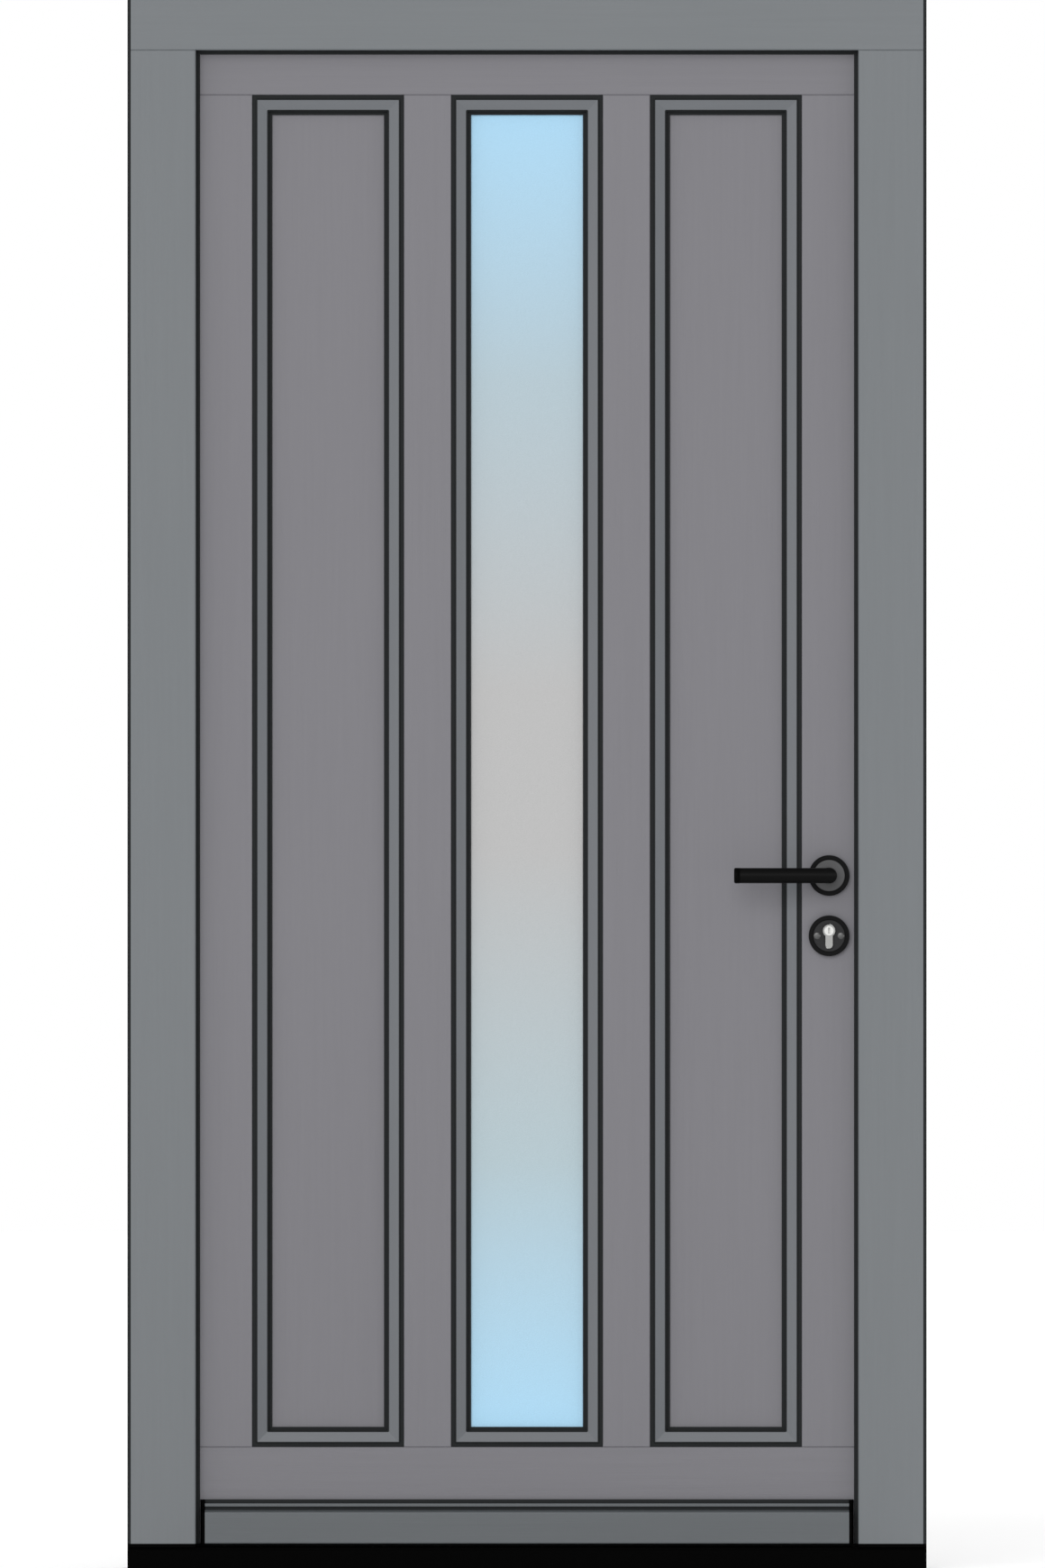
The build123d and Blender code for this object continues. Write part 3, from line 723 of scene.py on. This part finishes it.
# cross-head screws through the lock's forend and through the strike plate
plateScrews = {
    "fromTop": (12, 96, 205, 238),     # millimetres down the plate
    "size": {
        "Head Radius": 3.9 * millimetre,
        "Head Height": 0.45 * millimetre,
        "Slot Length": 5.0 * millimetre,
        "Slot Width": 1.0 * millimetre,
        "Slot Depth": 0.75 * millimetre,
        "Cross Drive": True,
    },
}


def plateScrewPlaces(node, side):
    low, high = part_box(node)
    x = high.x if side > 0 else low.x
    for down in plateScrews["fromTop"]:
        yield (x, (low.y + high.y) / 2, high.z - down * millimetre), (side, 0, 0)


for name, plate, side, body in (
    ("forend_screws", "lock_forend", 1, "leaf"),
    ("strike_screws", "strike_plate", -1, "frame"),
):
    setScrews(name, plateScrewPlaces(plate, side), plateScrews["size"], plateSteel, body)

# the same heads, larger, hold the threshold down behind its grooves
thresholdScrews = {
    "across": (-400, -135, 135, 400),     # millimetres from the middle
    "fromIndoorEdge": 9.0 * millimetre,
    "size": {**plateScrews["size"], "Head Radius": 4.8 * millimetre, "Slot Length": 6.0 * millimetre},
}


def thresholdScrewPlaces(setup):
    low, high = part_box("threshold")
    for x in setup["across"]:
        yield (x * millimetre, high.y - setup["fromIndoorEdge"], high.z), (0, 0, 1)


setScrews(
    "threshold_screws",
    thresholdScrewPlaces(thresholdScrews),
    thresholdScrews["size"],
    darkSteel,
    "frame",
)

# hex plugs close the hinge barrels above and below
hingePlugs = {
    "betweenHinges": 0.2,     # metres, less than the clear space between two of them
    "size": {
        "Head Radius": 6.5 * millimetre,
        "Head Height": 1.6 * millimetre,
        "Slot Length": 5.0 * millimetre,
        "Slot Depth": 1.5 * millimetre,
        "Hex Drive": True,
    },
}


def zSpans(node, clear):  # lowest and highest point of each solid, in a node whose solids stand in a column
    levels = sorted(v.co.z for v in nodes[node].data.vertices)
    spans = [[levels[0], levels[0]]]
    for level in levels:
        if level - spans[-1][1] > clear:
            spans.append([level, level])
        spans[-1][1] = level
    return spans


def hingePlugPlaces(node, end, clear):  # end 1 is a solid's top, 0 its underside
    x, y = jointPoint("leaf_swing")[:2]
    for span in zSpans(node, clear):
        yield (x, y, span[end]), (0, 0, 2 * end - 1)


for name, node, end, body in (
    ("hinge_plugs_upper", "hinge_leaf_halves", 1, "leaf"),
    ("hinge_plugs_lower", "hinge_frame_halves", 0, "frame"),
):
    places = hingePlugPlaces(node, end, hingePlugs["betweenHinges"])
    setScrews(name, places, hingePlugs["size"], hingeNickel, body)

# black caps close the weather bar's ends, beside the frame's seal
barCap = {
    "thickness": 4.0 * millimetre,
    "faceTop": 43.5 * millimetre,          # heights above the bar's underside
    "shoulderTop": 46.0 * millimetre,
    "stripReach": 11.0 * millimetre,       # how far the strip above the shoulder stands out
    "flangeWidth": 2.5 * millimetre,       # thin edge on the leaf, out to the frame's seal
    "flangeThickness": 1.5 * millimetre,
    "softEdge": 0.6 * millimetre,
    "edgeSteps": 2,
}


def barCapMesh(setup):
    low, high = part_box("weather_bar")
    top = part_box("weather_bar_seals")[1].z
    strip = high.y - setup["stripReach"]
    cap = [
        (high.y, low.z),
        (low.y, low.z),
        (low.y, low.z + setup["faceTop"]),
        (strip, low.z + setup["shoulderTop"]),
        (strip, top),
        (high.y, top),
    ]
    thin = high.y - setup["flangeThickness"]
    flange = [(high.y, low.z), (thin, low.z), (thin, top), (high.y, top)]
    capEnd = setup["thickness"]
    flangeEnd = capEnd + setup["flangeWidth"]
    points, faces = [], []
    for near, far, outline in (
        (low.x - capEnd, low.x, cap),
        (low.x - flangeEnd, low.x - capEnd, flange),
        (high.x, high.x + capEnd, cap),
        (high.x + capEnd, high.x + flangeEnd, flange),
    ):
        first, count = len(points), len(outline)
        points += [(x, y, z) for x in (near, far) for y, z in outline]
        faces.append([first + i for i in range(count)])
        faces.append([first + count + i for i in reversed(range(count))])
        for i in range(count):
            after = (i + 1) % count
            faces.append((first + after, first + i, first + count + i, first + count + after))
    mesh = bpy.data.meshes.new("weather_bar_end_caps")
    mesh.from_pydata(points, [], faces)
    mesh.materials.append(thresholdBlack)
    return mesh


barCaps = addObject("weather_bar_end_caps", barCapMesh(barCap))
edges = barCaps.modifiers.new("softEdges", "BEVEL")
edges.width = barCap["softEdge"]
edges.segments = barCap["edgeSteps"]
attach(barCaps, "leaf")
print("weather bar capped")

# a cap closes the tip of each lever
leverCap = {
    "length": 8.0 * millimetre,
    "proud": 0.15 * millimetre,
    "tuck": 0.6 * millimetre,      # how far its edge turns in, down into the bar
    "rounding": 2.2 * millimetre,
    "arcSteps": 6,
    "sides": 48,
}


def leverCapOutline(setup, radius):  # along the bar from its tip, and out from its middle
    turn = setup["rounding"]
    outline = [(setup["length"], radius - setup["tuck"]), (setup["length"], radius)]
    for step in range(setup["arcSteps"] + 1):
        angle = math.radians(90 * step / setup["arcSteps"])
        outline.append((turn * (1 - math.sin(angle)), radius - turn * (1 - math.cos(angle))))
    return outline


def leverCapMesh(setup):
    points, faces = [], []
    sides = setup["sides"]
    for node in ("outer_lever", "inner_lever"):
        low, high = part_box(node)
        barRadius = (high.z - low.z) / 2
        barY = low.y + barRadius if node == "outer_lever" else high.y - barRadius
        barZ = (low.z + high.z) / 2
        tip = low.x - setup["proud"]
        outline = leverCapOutline(setup, barRadius + setup["proud"])
        first = len(points)
        for along, around in outline:
            for side in range(sides):
                angle = 2 * math.pi * side / sides
                points.append((tip + along, barY + around * math.cos(angle), barZ + around * math.sin(angle)))
        last = first + (len(outline) - 1) * sides
        for ring in range(first, last, sides):
            for side in range(sides):
                here, after = ring + side, ring + (side + 1) % sides
                faces.append((here, here + sides, after + sides, after))
        faces.append([last + side for side in reversed(range(sides))])
        faces.append([first + side for side in range(sides)])
    mesh = bpy.data.meshes.new("lever_end_caps")
    mesh.from_pydata(points, [], faces)
    mesh.validate()
    for polygon in mesh.polygons:
        polygon.use_smooth = len(polygon.vertices) == 4
    mesh.materials.append(grittySkin("capBlack"))
    return mesh


leverCaps = addObject("lever_end_caps", leverCapMesh(leverCap))
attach(leverCaps, "lever_set")
print("levers capped")

# grub screws under the levers' necks
grubScrews = {
    "fromBar": 26.0 * millimetre,
    "size": {
        "Head Radius": 2.6 * millimetre,
        "Head Height": 0.5 * millimetre,
        "Sunk Depth": 0.6 * millimetre,
        "Slot Length": 2.6 * millimetre,
        "Slot Depth": 0.6 * millimetre,
        "Hex Drive": True,
    },
}


def grubScrewPlaces(setup):
    x = jointPoint("lever_turn")[0]
    outer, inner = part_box("outer_lever"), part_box("inner_lever")
    for y, z in ((outer[0].y + setup["fromBar"], outer[0].z), (inner[1].y - setup["fromBar"], inner[0].z)):
        yield (x, y, z), (0, 0, -1)


setScrews(
    "lever_grub_screws",
    grubScrewPlaces(grubScrews),
    grubScrews["size"],
    darkSteel,
    "lever_set",
)
print("screws set")
